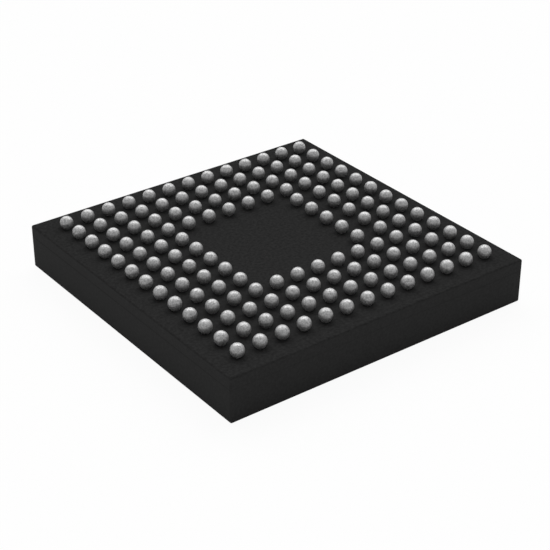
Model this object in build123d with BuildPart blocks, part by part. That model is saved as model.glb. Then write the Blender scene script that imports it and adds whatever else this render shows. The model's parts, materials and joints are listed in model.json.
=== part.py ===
from build123d import *
import os
from math import cos, radians, sin

# A display driver in a fine-pitch ball grid array package, lying on its marking face with
# its solder balls up. Sizes are in millimetres. The origin is the centre of the flat marking
# face, +Z points out of the ball side, and the sides of the body lie along X and Y.

# Ball array: rows of lands on a square grid, with a bare square left in the middle
ball_pitch = 0.50
balls_per_row = 13
ring_depth = 4
ball_diameter = 0.28
ball_centre_height = 0.115  # of a ball's centre above the solder mask
inner_row_shift = 0.10  # how much nearer the centre some balls of the right inner row stand
shifted_balls = 5

# Body: mould cap, solder mask, laminate core and solder mask, sawn flush all round
edge_margin = 0.54  # from the centres of the outer balls to the side of the body
edge_radius = 0.04
cap_thickness = 0.70
mask_thickness = 0.025
core_thickness = 0.21
dimple_diameter = 0.60
dimple_depth = 0.03
dimple_inset = 0.80  # of the dimple's centre from both sides at its corner

# Copper on both faces of the core
copper_thickness = 0.015
land_diameter = 0.25
mask_opening_diameter = 0.18
via_diameter = 0.10
via_pad_diameter = 0.20
trace_width = 0.03
link_width = 0.07
lane_offset = 0.20  # from the centre of a via to a trace that passes it
finger_pitch = 0.12
finger_length = 0.18
finger_width = 0.06
window_margin = 0.03  # of opened mask round a row of fingers

# Die, the film that holds it, and its wires
die_side = 3.90
die_thickness = 0.25
film_thickness = 0.03
pad_inset = 0.08  # of the bond pads from the side of the die
pad_end_margin = 0.20  # of the first and last pad from the corners of the die
wire_diameter = 0.025
bond_ball_diameter = 0.06
bond_ball_height = 0.015
loop_height = 0.12
loop_radius = 0.05
flat_share = 0.4  # of a wire's run that stays level before it goes down to its finger
stitch_length = 0.06
stitch_width = 0.04

# Heights of the faces between the layers
core_bottom = cap_thickness + mask_thickness
core_top = core_bottom + core_thickness
body_top = core_top + mask_thickness
land_face = core_top + copper_thickness
finger_face = core_bottom - copper_thickness
ball_centre_z = body_top + ball_centre_height
die_back = cap_thickness - film_thickness
die_face = die_back - die_thickness

# Places on the grid, where the rings of balls are counted in pitches from the centre
outer_ring = (balls_per_row - 1) // 2
inner_ring = outer_ring - ring_depth + 1
body_side = 2 * outer_ring * ball_pitch + 2 * edge_margin
finger_ring = (outer_ring - 1) * ball_pitch
sides = {"back": 0, "left": 90, "front": 180, "right": 270}
row_letters = "abcdefghjklmnprtuvwy"


def side_plane(angle, height):
    """The plane at a height whose Y axis points out of one side of the package."""
    turn = radians(angle)
    return Plane(origin=(0, 0, height), x_dir=(cos(turn), sin(turn), 0), z_dir=(0, 0, 1))


def side_lands(side):
    """The lands of one side's quarter of the array and their vias, on that side's plane."""
    lands = []
    for ring in range(inner_ring, outer_ring + 1):
        for column in range(-ring, ring):
            shifted = side == "right" and ring == inner_ring and abs(column) <= shifted_balls // 2
            shift = inner_row_shift if shifted else 0
            land = (column * ball_pitch, ring * ball_pitch - shift)
            via = ((column + 0.5) * ball_pitch, (ring + 0.5) * ball_pitch)
            lands.append((land, via))
    return lands


def half_side_nets():
    """The vias that half a side's fingers lead to, from the middle finger outwards.

    Each comes with its lane, which is how far beside the column its trace passes a nearer via.
    """
    nets = []
    for step in range(outer_ring):
        column = (step + 0.5) * ball_pitch
        first_ring = max(step + 1, inner_ring)
        rows = [(ring + 0.5) * ball_pitch for ring in range(first_ring, outer_ring + 1)]
        full = first_ring == inner_ring
        inward = [row for row in rows if row < finger_ring]
        outward = [row for row in rows if row > finger_ring]
        for row in inward + (outward if full else outward[::-1]):
            lane = lane_offset if full and row > finger_ring else -lane_offset
            passes_via = abs(row - finger_ring) > ball_pitch
            nets.append(((column, row), lane if passes_via else 0))
    return nets


def trace_route(finger_x, via, lane):
    """The points of a trace from the middle of its finger to its via."""
    column, row = via
    out = 1 if row > finger_ring else -1
    finger_end = finger_ring + out * finger_length / 2
    route = [(finger_x, finger_ring), (finger_x, finger_end)]
    if lane:
        knee = (finger_end + finger_ring + out * ball_pitch / 2) / 2
        route.append((column + lane, knee))
        route.append((column + lane, row - out * abs(lane)))
    route.append(via)
    return route


def bond_wire(pad_x, finger_x):
    """A wire of the back side: a ball on its pad, a loop, and a stitch pressed onto its finger."""
    run = Vector(finger_x - pad_x, stitch_y - pad_y, 0)
    wire_plane = Plane(origin=(pad_x, pad_y, 0), x_dir=run, z_dir=run.cross(Vector(0, 0, 1)))
    with BuildPart() as wire:
        with BuildLine(wire_plane):
            FilletPolyline(
                (0, die_face),
                (0, die_face - loop_height),
                (flat_share * run.length, die_face - loop_height),
                (run.length, finger_face - wire_diameter / 2),
                radius=loop_radius,
            )
        with BuildSketch(Plane.XY.offset(die_face)):
            with Locations((pad_x, pad_y)):
                Circle(wire_diameter / 2)
        sweep()
        with BuildSketch(Plane.XY.offset(die_face)):
            with Locations((pad_x, pad_y)):
                Circle(bond_ball_diameter / 2)
        extrude(amount=-bond_ball_height)
        with BuildSketch(Plane.XY.offset(finger_face)):
            with Locations((finger_x, stitch_y)):
                Rectangle(stitch_width, stitch_length)
        extrude(amount=-wire_diameter)
    return wire.part


def layer(bottom, top):
    """A layer of the body between two heights, with the rounded sides that it is sawn to."""
    with BuildPart() as slab:
        with BuildSketch(Plane.XY.offset(bottom)):
            Rectangle(body_side, body_side)
        extrude(amount=top - bottom)
        add(envelope.part, mode=Mode.INTERSECT)
    return slab.part


def save(piece, name):
    """Labels a finished piece and writes it under its own name."""
    piece.part.label = name
    export_step(piece.part, f"parts/{name}.step")


nets = half_side_nets()
wires_per_side = 2 * len(nets)
pad_pitch = (die_side - 2 * pad_end_margin) / (wires_per_side - 1)
finger_row = [(step - (wires_per_side - 1) / 2) * finger_pitch for step in range(wires_per_side)]
pad_row = [(step - (wires_per_side - 1) / 2) * pad_pitch for step in range(wires_per_side)]
pad_y = die_side / 2 - pad_inset
stitch_y = finger_ring - finger_length / 4

# Envelope: the outer form that every layer of the body is sawn and rounded to
with BuildPart() as envelope:
    with BuildSketch():
        Rectangle(body_side, body_side)
    extrude(amount=body_top)
    fillet(envelope.edges(), edge_radius)

# Die and its film: glued by its back to the middle of the mask, with its pads facing down
with BuildPart() as die_attach_film:
    with BuildSketch(Plane.XY.offset(die_back)):
        Rectangle(die_side, die_side)
    extrude(amount=film_thickness)

with BuildPart() as silicon_die:
    with BuildSketch(Plane.XY.offset(die_face)):
        Rectangle(die_side, die_side)
    extrude(amount=die_thickness)

# Copper of one side on the die's face of the core: fingers, traces and via pads
with BuildPart() as finger_fan:
    with BuildSketch(Plane.XY.offset(core_bottom)):
        with BuildLine():
            for step, (via, lane) in enumerate(nets):
                finger_x = (step + 0.5) * finger_pitch
                for mirror in (1, -1):
                    Polyline(*[(mirror * x, y) for x, y in trace_route(finger_x, via, lane)])
        trace(line_width=trace_width)
        with Locations(*[(mirror * x, y) for (x, y), lane in nets for mirror in (1, -1)]):
            Circle(via_pad_diameter / 2)
        with Locations(*[(x, finger_ring) for x in finger_row]):
            Rectangle(finger_width, finger_length)
    extrude(amount=-copper_thickness)

# Wires of one side, the same on all four
with BuildPart() as wire_fan:
    add([bond_wire(pad_x, finger_x) for pad_x, finger_x in zip(pad_row, finger_row)])

# Lands of each side with their links and via pads, on the balls' face of the core
ball_lands = {}
openings = []
for side, angle in sides.items():
    plane = side_plane(angle, core_top)
    with BuildPart() as copper:
        with BuildSketch(plane):
            with BuildLine():
                for land, via in side_lands(side):
                    Line(land, via)
            trace(line_width=link_width)
            with Locations(*[land for land, via in side_lands(side)]):
                Circle(land_diameter / 2)
            with Locations(*[via for land, via in side_lands(side)]):
                Circle(via_pad_diameter / 2)
        extrude(amount=copper_thickness)
    ball_lands[side] = copper
    openings.extend(plane.from_local_coords(Vector(*land, 0)) for land, via in side_lands(side))

# Copper-filled vias through the core
via_places = []
for angle in sides.values():
    plane = side_plane(angle, core_bottom)
    for (x, y), lane in nets:
        via_places.extend(plane.from_local_coords(Vector(mirror * x, y, 0)) for mirror in (1, -1))
with BuildPart() as copper_vias:
    with BuildSketch(Plane.XY.offset(core_bottom)):
        with Locations(*[(place.X, place.Y) for place in via_places]):
            Circle(via_diameter / 2)
    extrude(amount=core_thickness)

# Laminate core, drilled for the vias
with BuildPart() as substrate_core:
    add(layer(core_bottom, core_top))
    add(copper_vias.part, mode=Mode.SUBTRACT)

# Solder mask of the ball side: it covers the copper and leaves an opening over each land
with BuildPart() as solder_mask_ball_side:
    add(layer(core_top, body_top))
    with BuildSketch(Plane.XY.offset(core_top)):
        with Locations(*[(place.X, place.Y) for place in openings]):
            Circle(mask_opening_diameter / 2)
    extrude(amount=mask_thickness, mode=Mode.SUBTRACT)
    add([copper.part for copper in ball_lands.values()], mode=Mode.SUBTRACT)

# Finger copper and wires of the four sides, turned from the back side's
die_side_copper = {}
bond_wires = {}
for side, angle in sides.items():
    with BuildPart() as copper:
        add(finger_fan.part, rotation=(0, 0, angle))
    with BuildPart() as wires:
        add(wire_fan.part, rotation=(0, 0, angle))
    die_side_copper[side] = copper
    bond_wires[side] = wires

# Windows in the die's side of the mask, one round each row of fingers
with BuildPart() as finger_windows:
    for angle in sides.values():
        with BuildSketch(side_plane(angle, cap_thickness)):
            with Locations((0, finger_ring)):
                Rectangle(
                    finger_row[-1] - finger_row[0] + finger_width + 2 * window_margin,
                    finger_length + 2 * window_margin,
                )
        extrude(amount=mask_thickness)

# Solder mask of the die's side
with BuildPart() as solder_mask_die_side:
    add(layer(cap_thickness, core_bottom))
    add(finger_windows.part, mode=Mode.SUBTRACT)
    add([copper.part for copper in die_side_copper.values()], mode=Mode.SUBTRACT)

# Mould cap: cast round the die and its wires and into the windows, with a shallow dimple
# in the marking face at the corner of the first ball
dimple_place = dimple_inset - body_side / 2
with BuildPart() as mould_cap:
    add(layer(0, cap_thickness))
    add(finger_windows.part)
    with BuildSketch():
        with Locations((dimple_place, dimple_place)):
            Circle(dimple_diameter / 2)
    extrude(amount=dimple_depth, mode=Mode.SUBTRACT)
    add([silicon_die.part, die_attach_film.part], mode=Mode.SUBTRACT)
    add([wires.part for wires in bond_wires.values()], mode=Mode.SUBTRACT)
    add([copper.part for copper in die_side_copper.values()], mode=Mode.SUBTRACT)

# Solder balls, a node for each row: each ball fills its mask opening and stands on its land
os.makedirs("parts", exist_ok=True)
rows = sorted({round(place.Y, 6) for place in openings}, reverse=True)
for letter, row in zip(row_letters, rows):
    places = [(place.X, place.Y) for place in openings if round(place.Y, 6) == row]
    with BuildPart() as solder_balls:
        with Locations(*[(x, y, ball_centre_z) for x, y in places]):
            Sphere(ball_diameter / 2)
        split(bisect_by=Plane.XY.offset(land_face))
        with BuildSketch(Plane.XY.offset(land_face)):
            with Locations(*places):
                Circle(mask_opening_diameter / 2)
        extrude(amount=ball_centre_z - land_face)
    save(solder_balls, f"solder_balls_row_{letter}")

save(mould_cap, "mould_cap")
save(silicon_die, "silicon_die")
save(die_attach_film, "die_attach_film")
save(solder_mask_die_side, "solder_mask_die_side")
save(substrate_core, "substrate_core")
save(copper_vias, "copper_vias")
save(solder_mask_ball_side, "solder_mask_ball_side")
for side in sides:
    save(bond_wires[side], f"bond_wires_{side}")
    save(die_side_copper[side], f"finger_copper_{side}")
    save(ball_lands[side], f"ball_lands_{side}")
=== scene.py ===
# %% [markdown]
# # A ball grid array package, seen from its ball side
# The chip lies on its marking face, so its solder balls point up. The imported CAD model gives
# every layer of the body at its real size. This script adds what CAD doesn't hold: the finish
# of each surface, smooth reflowed balls, the floor, the light and the camera.

# %% Load the model
import json
from math import acos, cos, degrees, pi, radians, sin, sqrt

import bmesh
import bpy
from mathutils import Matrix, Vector


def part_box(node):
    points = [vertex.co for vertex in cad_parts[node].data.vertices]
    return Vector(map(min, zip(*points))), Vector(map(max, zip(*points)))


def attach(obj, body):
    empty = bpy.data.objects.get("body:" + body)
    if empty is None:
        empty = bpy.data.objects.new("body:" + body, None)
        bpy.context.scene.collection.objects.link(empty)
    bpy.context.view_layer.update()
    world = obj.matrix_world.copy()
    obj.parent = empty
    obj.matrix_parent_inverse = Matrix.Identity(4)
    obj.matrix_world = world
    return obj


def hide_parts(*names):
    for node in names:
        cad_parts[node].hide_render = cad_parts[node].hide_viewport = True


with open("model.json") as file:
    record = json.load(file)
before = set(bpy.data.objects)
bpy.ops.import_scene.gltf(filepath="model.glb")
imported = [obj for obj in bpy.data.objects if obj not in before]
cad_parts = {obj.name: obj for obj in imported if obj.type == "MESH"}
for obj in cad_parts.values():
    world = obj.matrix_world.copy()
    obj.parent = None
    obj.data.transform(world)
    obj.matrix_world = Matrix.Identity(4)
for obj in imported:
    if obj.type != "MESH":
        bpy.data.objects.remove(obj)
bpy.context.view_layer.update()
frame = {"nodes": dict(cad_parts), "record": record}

MM = 0.001

# %% [markdown]
# ## Sizes
# Nothing is measured again here. The pitch comes from the mount in the record, and the heights
# and widths come from the boxes of the CAD pieces, so the looks follow the model if it changes.

# %% Read the sizes of the balls
array_mount = next(m for m in frame["record"]["mounts"] if m["name"] == "ball_array")
ball_pitch = array_mount["dims"]["spacing_x_mm"] * MM
ball_rows = sorted(name for name in frame["nodes"] if name.startswith("solder_balls_row_"))
first_row_low, first_row_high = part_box(ball_rows[0])
ball_radius = (first_row_high[1] - first_row_low[1]) / 2
ball_centre_z = first_row_high[2] - ball_radius
land_z = first_row_low[2]
balls_across = len(ball_rows)
print("balls", ball_radius / MM, "mm in radius,", balls_across, "rows,",
      ball_pitch / MM, "mm apart")

# %% [markdown]
# ## The camera
# A long lens, far away for the size of the thing, keeps the sides almost parallel. The camera
# looks down by thirty degrees at the corner where the left and front sides meet. Its height is
# counted from the centres of the balls, because they show the view's angle best.

# %% Place the camera
camera_to_the_left = 16.109 * MM
camera_in_front = 21.652 * MM
camera_above_balls = 14.694 * MM
camera_place = Vector((
    -camera_to_the_left, -camera_in_front, ball_centre_z + camera_above_balls,
))
view_azimuth = radians(53.22)
view_drop = radians(30.0)
view_direction = Vector((
    cos(view_drop) * cos(view_azimuth),
    cos(view_drop) * sin(view_azimuth),
    -sin(view_drop),
))
lens_mm, sensor_mm = 100, 36
nearest_seen, farthest_seen = 1 * MM, 10
camera_data = bpy.data.cameras.new("product_camera")
camera_data.lens = lens_mm
camera_data.sensor_width = sensor_mm
camera_data.clip_start = nearest_seen
camera_data.clip_end = farthest_seen
camera = bpy.data.objects.new("product_camera", camera_data)
camera.location = camera_place
camera.rotation_euler = view_direction.to_track_quat("-Z", "Y").to_euler()
bpy.context.scene.collection.objects.link(camera)
bpy.context.scene.camera = camera
print("camera", camera_place.length / MM, "mm from the middle of the marking face")

# %% [markdown]
# ## Colours and nodes
# Paint charts and screens give colours as sRGB hex values, and shaders want linear ones, so one
# function turns the first into the second. A second function adds a shader node, and takes its
# settings and its inputs, where an input is either a value or another node's output.

# %% Two helpers
SRGB_KNEE, SRGB_SLOPE, SRGB_OFFSET, SRGB_POWER = 0.04045, 12.92, 0.055, 2.4


def colour(hex_value):
    """An sRGB hex colour as linear red, green, blue and alpha."""
    channels = [int(hex_value[place:place + 2], 16) / 255 for place in (1, 3, 5)]
    linear = [
        c / SRGB_SLOPE if c <= SRGB_KNEE else ((c + SRGB_OFFSET) / (1 + SRGB_OFFSET)) ** SRGB_POWER
        for c in channels
    ]
    return (*linear, 1.0)


def add_node(tree, kind, inputs=None, **settings):
    """Adds a node to a tree, sets it up and links its inputs."""
    node = tree.nodes.new(kind)
    for name, value in settings.items():
        setattr(node, name, value)
    for name, value in (inputs or {}).items():
        if isinstance(value, bpy.types.NodeSocket):
            tree.links.new(value, node.inputs[name])
        else:
            node.inputs[name].default_value = value
    return node


print("a mid grey, #808080, in linear light:", round(colour("#808080")[0], 3))

# %% [markdown]
# ## A painted highlight on the rim
# A layer's steep rim is painted in the lighter tone of the sawn sides, its flat face keeps its
# own:
# a painted edge highlight, for the light the rounded edge catches. How steep a face is comes from
# the upright part of its normal, so the painted highlight turns gently over the rounded edge.

# %% Mix a tone by how steep a face is
RIM_STEEP, RIM_FLAT = 0.3, 0.97


def painted_highlight_over_steep_faces(tree, grain, rim, flat_tone):
    """A painted edge highlight: the rim's colours on steep faces, the flat tone on level ones."""
    rim_highlight_tone = add_node(tree, "ShaderNodeMix", {
        "Factor": grain, "A": colour(rim[0]), "B": colour(rim[1]),
    }, data_type="RGBA").outputs[2]
    normal = add_node(tree, "ShaderNodeNewGeometry").outputs["Normal"]
    upright = add_node(tree, "ShaderNodeSeparateXYZ", {"Vector": normal}).outputs["Z"]
    flatness = add_node(tree, "ShaderNodeMapRange", {
        "Value": upright, "From Min": RIM_STEEP, "From Max": RIM_FLAT,
    }).outputs["Result"]
    return add_node(tree, "ShaderNodeMix", {
        "Factor": flatness, "A": rim_highlight_tone, "B": flat_tone,
    }, data_type="RGBA").outputs[2]


print("the rim's tone ends where a face leans by", round(degrees(acos(RIM_FLAT))), "degrees")

# %% [markdown]
# ## How a surface is built
# Every finish here has a base colour that wavers with a grain, a roughness that wavers with it,
# and a fine relief. What differs is how large the grain is on the real thing, so one function
# builds them all and takes the grain's real size. Noise is mostly near its middle value, so its
# middle band is stretched to reach both colours.

# %% A surface with a grain
GRAIN_BAND = (0.35, 0.65)
GRAIN_DETAIL, GRAIN_ROUGHNESS = 3.0, 0.6
ROUGHNESS_SPREAD = 0.05


def grained_surface(name, dark, light, grain_mm, relief_mm, roughness, rim=None, **shader):
    """A material whose colour, gloss and relief follow a grain.

    The rim is the darkest and lightest colour of steep faces, painted on as an edge highlight.
    """
    material = bpy.data.materials.new(name)
    material.use_nodes = True
    tree = material.node_tree
    tree.nodes.clear()
    place = add_node(tree, "ShaderNodeTexCoord")
    noise = add_node(tree, "ShaderNodeTexNoise", {
        "Vector": place.outputs["Object"], "Scale": 1 / (grain_mm * MM),
        "Detail": GRAIN_DETAIL, "Roughness": GRAIN_ROUGHNESS,
    })
    grain = add_node(tree, "ShaderNodeMapRange", {
        "Value": noise.outputs["Fac"], "From Min": GRAIN_BAND[0], "From Max": GRAIN_BAND[1],
    }).outputs["Result"]
    tone = add_node(tree, "ShaderNodeMix", {
        "Factor": grain, "A": colour(dark), "B": colour(light),
    }, data_type="RGBA").outputs[2]
    if rim:
        tone = painted_highlight_over_steep_faces(tree, grain, rim, tone)
    gloss = add_node(tree, "ShaderNodeMapRange", {
        "Value": grain,
        "To Min": roughness - ROUGHNESS_SPREAD, "To Max": roughness + ROUGHNESS_SPREAD,
    })
    relief = add_node(tree, "ShaderNodeBump", {
        "Height": noise.outputs["Fac"], "Strength": 1.0, "Distance": relief_mm * MM,
    })
    surface = add_node(tree, "ShaderNodeBsdfPrincipled", {
        "Base Color": tone, "Roughness": gloss.outputs["Result"],
        "Normal": relief.outputs["Normal"], **shader,
    })
    add_node(tree, "ShaderNodeOutputMaterial", {"Surface": surface.outputs["BSDF"]})
    return material


print("the grain's colours are reached at", GRAIN_BAND, "of the noise")

# %% [markdown]
# ## The black finishes
# The body is black epoxy filled with ground silica, pressed in a mould and then sawn. The fill
# scatters the light, so the sides look a dull even black with a very fine speckle and no shine.
# The ball side is black solder mask, a matt ink that is printed and cured: a little darker, and
# as dull. The sawn edge of the laminate can't be told from the epoxy by eye. The real speckle is
# a few hundredths of a millimetre, and is drawn at 0.05 mm or so to show at all.

# %% Black finishes
SAWN_BLACKS = ("#2c2c2c", "#323232")
INK_BLACKS = ("#232323", "#2d2d2d")
DULL_ROUGHNESS = 0.7
SAWN_SHINE = {"Specular IOR Level": 0.02}
NO_SHINE = {"Specular IOR Level": 0.0}
moulded_epoxy = grained_surface(
    "black_epoxy_moulded_and_sawn", *SAWN_BLACKS, grain_mm=0.05, relief_mm=0.0005,
    roughness=DULL_ROUGHNESS, **SAWN_SHINE,
)
sawn_laminate = grained_surface(
    "black_laminate_sawn", *SAWN_BLACKS, grain_mm=0.045, relief_mm=0.0005,
    roughness=DULL_ROUGHNESS, **SAWN_SHINE,
)
# The ink's rounded rim is painted in the lighter sawn tone: a painted edge highlight.
mask_ink = grained_surface(
    "black_solder_mask_cured", *INK_BLACKS, grain_mm=0.06, relief_mm=0.0003,
    roughness=DULL_ROUGHNESS, rim=SAWN_BLACKS, **NO_SHINE,
)
print("black finishes:", moulded_epoxy.name, sawn_laminate.name, mask_ink.name)

# %% [markdown]
# ## Solder and the hidden metals
# Reflowed tin-silver-copper isn't a mirror: it freezes into a frost of fine crystals. Only part
# of the light is mirrored, and the rest is scattered, so a ball looks pale grey with a soft
# bright top and a mottle as fine as the eye can tell. Copper, gold and silicon are inside the
# package and only show when it is taken apart, but they have their own finishes all the same,
# and so does the film that glues the die down.

# %% Metal finishes
solder = grained_surface(
    "tin_solder_reflowed", "#7e7e7e", "#b6b6b6", grain_mm=0.03, relief_mm=0.0006,
    roughness=0.4, Metallic=0.45,
)
copper = grained_surface(
    "copper_plated", "#9c5a3a", "#c07a55", grain_mm=0.02, relief_mm=0.0004,
    roughness=0.35, Metallic=1.0,
)
gold = grained_surface(
    "gold_wire_drawn", "#d0a040", "#e8bf62", grain_mm=0.01, relief_mm=0.0002,
    roughness=0.22, Metallic=1.0,
)
silicon = grained_surface(
    "silicon_ground", "#4c4c55", "#5a5a64", grain_mm=0.03, relief_mm=0.0002,
    roughness=0.3, Metallic=0.8,
)
adhesive_film = grained_surface(
    "die_attach_film_cured", "#b7ab8c", "#c9bf9f", grain_mm=0.05, relief_mm=0.0006,
    roughness=0.7,
)
print("metals and film:", solder.name, copper.name, gold.name, silicon.name, adhesive_film.name)

# %% [markdown]
# ## Finishes of the CAD pieces
# The CAD solids of the body have the right shape, so they stay as they are, and each one only
# gets the finish of its own kind.

# %% Give the CAD pieces their finishes
finish_of_kind = {
    "mould_cap": moulded_epoxy,
    "substrate_core": sawn_laminate,
    "solder_mask": mask_ink,
    "silicon_die": silicon,
    "die_attach_film": adhesive_film,
    "bond_wires": gold,
    "finger_copper": copper,
    "ball_lands": copper,
    "copper_vias": copper,
    "solder_balls": solder,
}
for name, piece in frame["nodes"].items():
    finish = next(finish for kind, finish in finish_of_kind.items() if name.startswith(kind))
    piece.data.materials.clear()
    piece.data.materials.append(finish)
print("finished", len(frame["nodes"]), "CAD pieces")

# %% [markdown]
# ## The shape of one reflowed ball
# A ball starts as a sphere of solder. When it melts it wets its round land, so its foot is as
# wide as the opening in the mask, and above that surface tension keeps it round. The outline of
# that shape is turned round the upright axis, like a pot on a wheel. There are 144 balls, so
# each has only about two hundred faces, and smooth shading rounds them.

# %% Model one ball
foot_radius = 0.09 * MM
foot_angle = acos(-sqrt(1 - (foot_radius / ball_radius) ** 2))
spokes = 20
arc_steps = 9


def ball_outline():
    """Points from the middle of the foot, up the side, to the top, about the ball's centre."""
    foot_z = land_z - ball_centre_z
    outline = [(0.0, foot_z), (foot_radius, foot_z)]
    for step in range(arc_steps + 1):
        angle = foot_angle * (1 - step / arc_steps)
        outline.append((ball_radius * sin(angle), ball_radius * cos(angle)))
    return outline


merge_distance = ball_radius / 1000
ball_mesh = bpy.data.meshes.new("reflowed_ball")
shape = bmesh.new()
points = [shape.verts.new((x, 0, z)) for x, z in ball_outline()]
edges = [shape.edges.new(pair) for pair in zip(points, points[1:])]
bmesh.ops.spin(shape, geom=points + edges, cent=(0, 0, 0), axis=(0, 0, 1),
               angle=2 * pi, steps=spokes, use_duplicate=False)
bmesh.ops.remove_doubles(shape, verts=shape.verts[:], dist=merge_distance)
bmesh.ops.recalc_face_normals(shape, faces=shape.faces[:])
for face in shape.faces:
    face.smooth = True
shape.to_mesh(ball_mesh)
shape.free()
faces_in_ball = len(ball_mesh.polygons)
ball_pattern = bpy.data.objects.new("ball_pattern", ball_mesh)
print("one ball has", faces_in_ball, "faces")

# %% [markdown]
# ## The ball array
# The balls stand on a square grid with a bare square in the middle. A tree of geometry nodes
# makes the grid, takes out the middle, moves the few balls that stand nearer the centre, and
# puts a ball on every point that is left. Each ball is turned a little, so that the grain of
# no two is the same.

# %% Name the sizes of the array
bare_rows = 5
shifted_balls = 5
inward_shift = 0.10 * MM
turning_seed = 7
array_tree = bpy.data.node_groups.new("ball_array_layout", "GeometryNodeTree")
array_sizes = {
    "Rows": ("NodeSocketInt", balls_across),
    "Pitch": ("NodeSocketFloat", ball_pitch),
    "Bare half width": ("NodeSocketFloat", bare_rows / 2 * ball_pitch),
    "Shifted half length": ("NodeSocketFloat", shifted_balls / 2 * ball_pitch),
    "Shift": ("NodeSocketFloat", inward_shift),
    "Height": ("NodeSocketFloat", ball_centre_z),
    "Seed": ("NodeSocketInt", turning_seed),
    "Ball": ("NodeSocketObject", ball_pattern),
    "Finish": ("NodeSocketMaterial", solder),
}
input_values = {}
for title, (kind, value) in array_sizes.items():
    socket = array_tree.interface.new_socket(title, in_out="INPUT", socket_type=kind)
    input_values[socket.identifier] = value
array_tree.interface.new_socket("Geometry", in_out="OUTPUT", socket_type="NodeSocketGeometry")
sizes = add_node(array_tree, "NodeGroupInput")
print("inputs of the array:", ", ".join(array_sizes))

# %% [markdown]
# The arithmetic of the tree is small sums on numbers, so one helper writes a sum as a node and
# returns its result.

# %% Lay out the grid and take out its middle
def sum_node(operation, *values):
    """A number worked out by one math node of the array's tree."""
    node = add_node(array_tree, "ShaderNodeMath", dict(enumerate(values)), operation=operation)
    return node.outputs[0]


gaps = sum_node("SUBTRACT", sizes.outputs["Rows"], 1.0)
width = sum_node("MULTIPLY", gaps, sizes.outputs["Pitch"])
grid = add_node(array_tree, "GeometryNodeMeshGrid", {
    "Size X": width, "Size Y": width,
    "Vertices X": sizes.outputs["Rows"], "Vertices Y": sizes.outputs["Rows"],
})
place = add_node(array_tree, "GeometryNodeInputPosition")
place_parts = add_node(array_tree, "ShaderNodeSeparateXYZ", {"Vector": place.outputs[0]})
across = sum_node("ABSOLUTE", place_parts.outputs["X"])
along = sum_node("ABSOLUTE", place_parts.outputs["Y"])
farthest = sum_node("MAXIMUM", across, along)
is_bare = sum_node("LESS_THAN", farthest, sizes.outputs["Bare half width"])
ring = add_node(array_tree, "GeometryNodeDeleteGeometry", {
    "Geometry": grid.outputs["Mesh"], "Selection": is_bare,
}, domain="POINT")
print("grid nodes:", len(array_tree.nodes))

# %% [markdown]
# On this chip the middle five balls of the inner row on the right stand a tenth of a
# millimetre nearer the centre than the grid says.

# %% Move the shifted balls and lift the grid
inner_ring_end = sum_node("ADD", sizes.outputs["Bare half width"], sizes.outputs["Pitch"])
in_inner_ring = sum_node("LESS_THAN", place_parts.outputs["X"], inner_ring_end)
on_right = sum_node("GREATER_THAN", place_parts.outputs["X"], sizes.outputs["Bare half width"])
in_length = sum_node("LESS_THAN", along, sizes.outputs["Shifted half length"])
is_shifted = sum_node("MULTIPLY", sum_node("MULTIPLY", in_inner_ring, on_right), in_length)
step_in = sum_node("MULTIPLY", is_shifted, sum_node("MULTIPLY", sizes.outputs["Shift"], -1.0))
lift = add_node(array_tree, "ShaderNodeCombineXYZ", {"X": step_in, "Z": sizes.outputs["Height"]})
ball_places = add_node(array_tree, "GeometryNodeSetPosition", {
    "Geometry": ring.outputs["Geometry"], "Offset": lift.outputs["Vector"],
})
print("nodes so far:", len(array_tree.nodes))

# %% [markdown]
# The instances are turned by random angles, made real and given their finish.

# %% Put a ball on each point
turn = add_node(array_tree, "FunctionNodeRandomValue", {
    "Max": (0.0, 0.0, 2 * pi), "Seed": sizes.outputs["Seed"],
}, data_type="FLOAT_VECTOR")
ball_source = add_node(array_tree, "GeometryNodeObjectInfo", {"Object": sizes.outputs["Ball"]})
balls = add_node(array_tree, "GeometryNodeInstanceOnPoints", {
    "Points": ball_places.outputs["Geometry"], "Instance": ball_source.outputs["Geometry"],
    "Rotation": turn.outputs["Value"],
})
real_balls = add_node(array_tree, "GeometryNodeRealizeInstances", {"Geometry": balls.outputs[0]})
finished = add_node(array_tree, "GeometryNodeSetMaterial", {
    "Geometry": real_balls.outputs["Geometry"], "Material": sizes.outputs["Finish"],
})
add_node(array_tree, "NodeGroupOutput", {"Geometry": finished.outputs["Geometry"]})
print("nodes in all:", len(array_tree.nodes))

# %% [markdown]
# The tree runs once, on an empty object, and what it makes is kept as a plain mesh. It stands
# in for all thirteen rows of CAD balls.

# %% Make the balls
def mesh_from_tree(name, tree, values):
    """Runs a tree with its inputs and returns what it makes as a plain object."""
    carrier = bpy.data.objects.new(name + "_carrier", bpy.data.meshes.new(name + "_carrier"))
    bpy.context.scene.collection.objects.link(carrier)
    layout = carrier.modifiers.new("layout", "NODES")
    layout.node_group = tree
    for identifier, value in values.items():
        layout[identifier] = value
    seen = carrier.evaluated_get(bpy.context.evaluated_depsgraph_get())
    piece = bpy.data.objects.new(name, bpy.data.meshes.new_from_object(seen))
    bpy.data.objects.remove(carrier)
    bpy.context.scene.collection.objects.link(piece)
    return piece


ball_array = mesh_from_tree("solder_ball_array", array_tree, input_values)
bpy.data.objects.remove(ball_pattern)
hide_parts(*ball_rows)
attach(ball_array, "root")
print("balls made:", len(ball_array.data.polygons) // faces_in_ball)

# %% [markdown]
# ## White for the eye, light for the scene
# A product photo has a pure white background, and light that is no stronger for it. The light
# path tells the two apart: a ray from the camera, a mirrored ray or a ray through glass should
# find white, and every other ray finds the real floor or the real light. The greatest of the
# three is 1 for a ray that is any of them.

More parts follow.
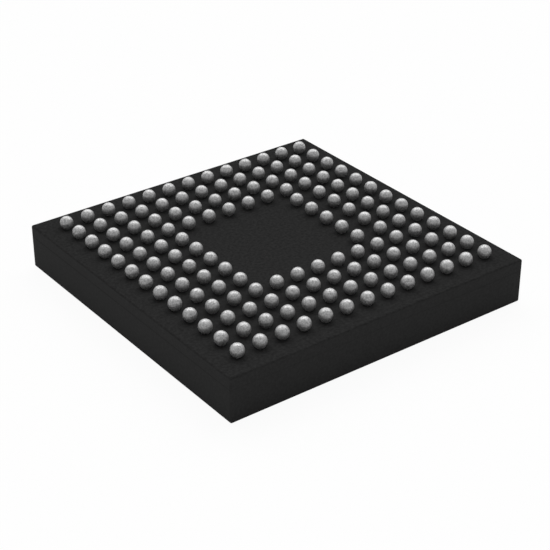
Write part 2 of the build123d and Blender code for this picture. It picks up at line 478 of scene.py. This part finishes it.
# %% A test for rays that should find white
def seen_white(tree, share):
    """The share of white for rays that look, mirror or pass through, and 0 for the others."""
    path = add_node(tree, "ShaderNodeLightPath")
    looked = add_node(tree, "ShaderNodeMath", {
        0: path.outputs["Is Camera Ray"], 1: path.outputs["Is Glossy Ray"],
    }, operation="MAXIMUM")
    any_seen = add_node(tree, "ShaderNodeMath", {
        0: looked.outputs[0], 1: path.outputs["Is Transmission Ray"],
    }, operation="MAXIMUM")
    scaled = add_node(tree, "ShaderNodeMath", {
        0: any_seen.outputs[0], 1: share,
    }, operation="MULTIPLY")
    return scaled.outputs[0]


WHITE = colour("#fefefe")
print("white of the background:", WHITE[0])

# %% [markdown]
# ## The floor
# The chip lies on plain white paper. Where the camera looks at it, it is nearly all background
# white, and a small share is the lit paper itself, which keeps the chip's soft shadow.

# %% Lay the floor
floor_size = 2.0
shadow_share = 0.05
PAPER_WHITE = colour("#f4f4f4")
floor_mesh = bpy.data.meshes.new("floor")
corners = [Vector(corner) * floor_size / 2 for corner in
           ((-1, -1, 0), (1, -1, 0), (1, 1, 0), (-1, 1, 0))]
floor_mesh.from_pydata(corners, [], [(0, 1, 2, 3)])
floor = bpy.data.objects.new("floor", floor_mesh)
bpy.context.scene.collection.objects.link(floor)
paper = bpy.data.materials.new("white_paper_sweep")
paper.use_nodes = True
paper.node_tree.nodes.clear()
lit_paper = add_node(paper.node_tree, "ShaderNodeBsdfDiffuse", {"Color": PAPER_WHITE})
white_paper = add_node(paper.node_tree, "ShaderNodeEmission", {"Color": WHITE})
paper_mix = add_node(paper.node_tree, "ShaderNodeMixShader", {
    0: seen_white(paper.node_tree, 1 - shadow_share),
    1: lit_paper.outputs["BSDF"], 2: white_paper.outputs["Emission"],
})
add_node(paper.node_tree, "ShaderNodeOutputMaterial", {"Surface": paper_mix.outputs["Shader"]})
floor_mesh.materials.append(paper)
print("floor", floor_size, "m square")

# %% [markdown]
# ## The light
# The photograph has soft light from high up and a little behind: every ball is brightest on its
# top and darkest on its belly, and as bright to the left as to the right. Three broad lamps give
# that: one above, and two halfway up behind the chip, to the left and to the right. A dim world
# fills the rest, and lights the balls at the front a little more than those with others before
# them.

# %% Set the world
tent_strength = 0.32
world = bpy.data.worlds.new("dim_white_tent")
world.use_nodes = True
world.node_tree.nodes.clear()
tent_light = add_node(world.node_tree, "ShaderNodeBackground", {
    "Color": WHITE, "Strength": tent_strength,
})
tent_white = add_node(world.node_tree, "ShaderNodeBackground", {
    "Color": WHITE, "Strength": 1.0,
})
tent_mix = add_node(world.node_tree, "ShaderNodeMixShader", {
    0: seen_white(world.node_tree, 1.0), 1: tent_light.outputs[0], 2: tent_white.outputs[0],
})
add_node(world.node_tree, "ShaderNodeOutputWorld", {"Surface": tent_mix.outputs["Shader"]})
bpy.context.scene.world = world
print("world", tent_strength)

# %% [markdown]
# A sun lamp with a wide angle is a soft box that lights every part of the scene alike. It shines
# along its own -Z axis, so it is turned until that axis points away from where the box hangs.
# All its angles are in degrees.

# %% Hang the soft boxes
def hang_soft_box(name, strength, height_angle, turn, spread):
    """Hangs a lamp behind the chip, raised from the floor and turned from the line of sight."""
    lamp_data = bpy.data.lights.new(name, "SUN")
    lamp_data.energy = strength
    lamp_data.angle = radians(spread)
    azimuth = view_azimuth + radians(turn)
    lamp = bpy.data.objects.new(name, lamp_data)
    to_lamp = Vector((
        cos(radians(height_angle)) * cos(azimuth),
        cos(radians(height_angle)) * sin(azimuth),
        sin(radians(height_angle)),
    ))
    lamp.rotation_euler = (-to_lamp).to_track_quat("-Z", "Y").to_euler()
    bpy.context.scene.collection.objects.link(lamp)


side_box = {"strength": 1.5, "height_angle": 46, "spread": 46}
hang_soft_box("overhead_soft_box", strength=0.3, height_angle=88, turn=0, spread=60)
hang_soft_box("left_soft_box", turn=30, **side_box)
hang_soft_box("right_soft_box", turn=-30, **side_box)
bpy.context.scene.view_settings.view_transform = "Standard"
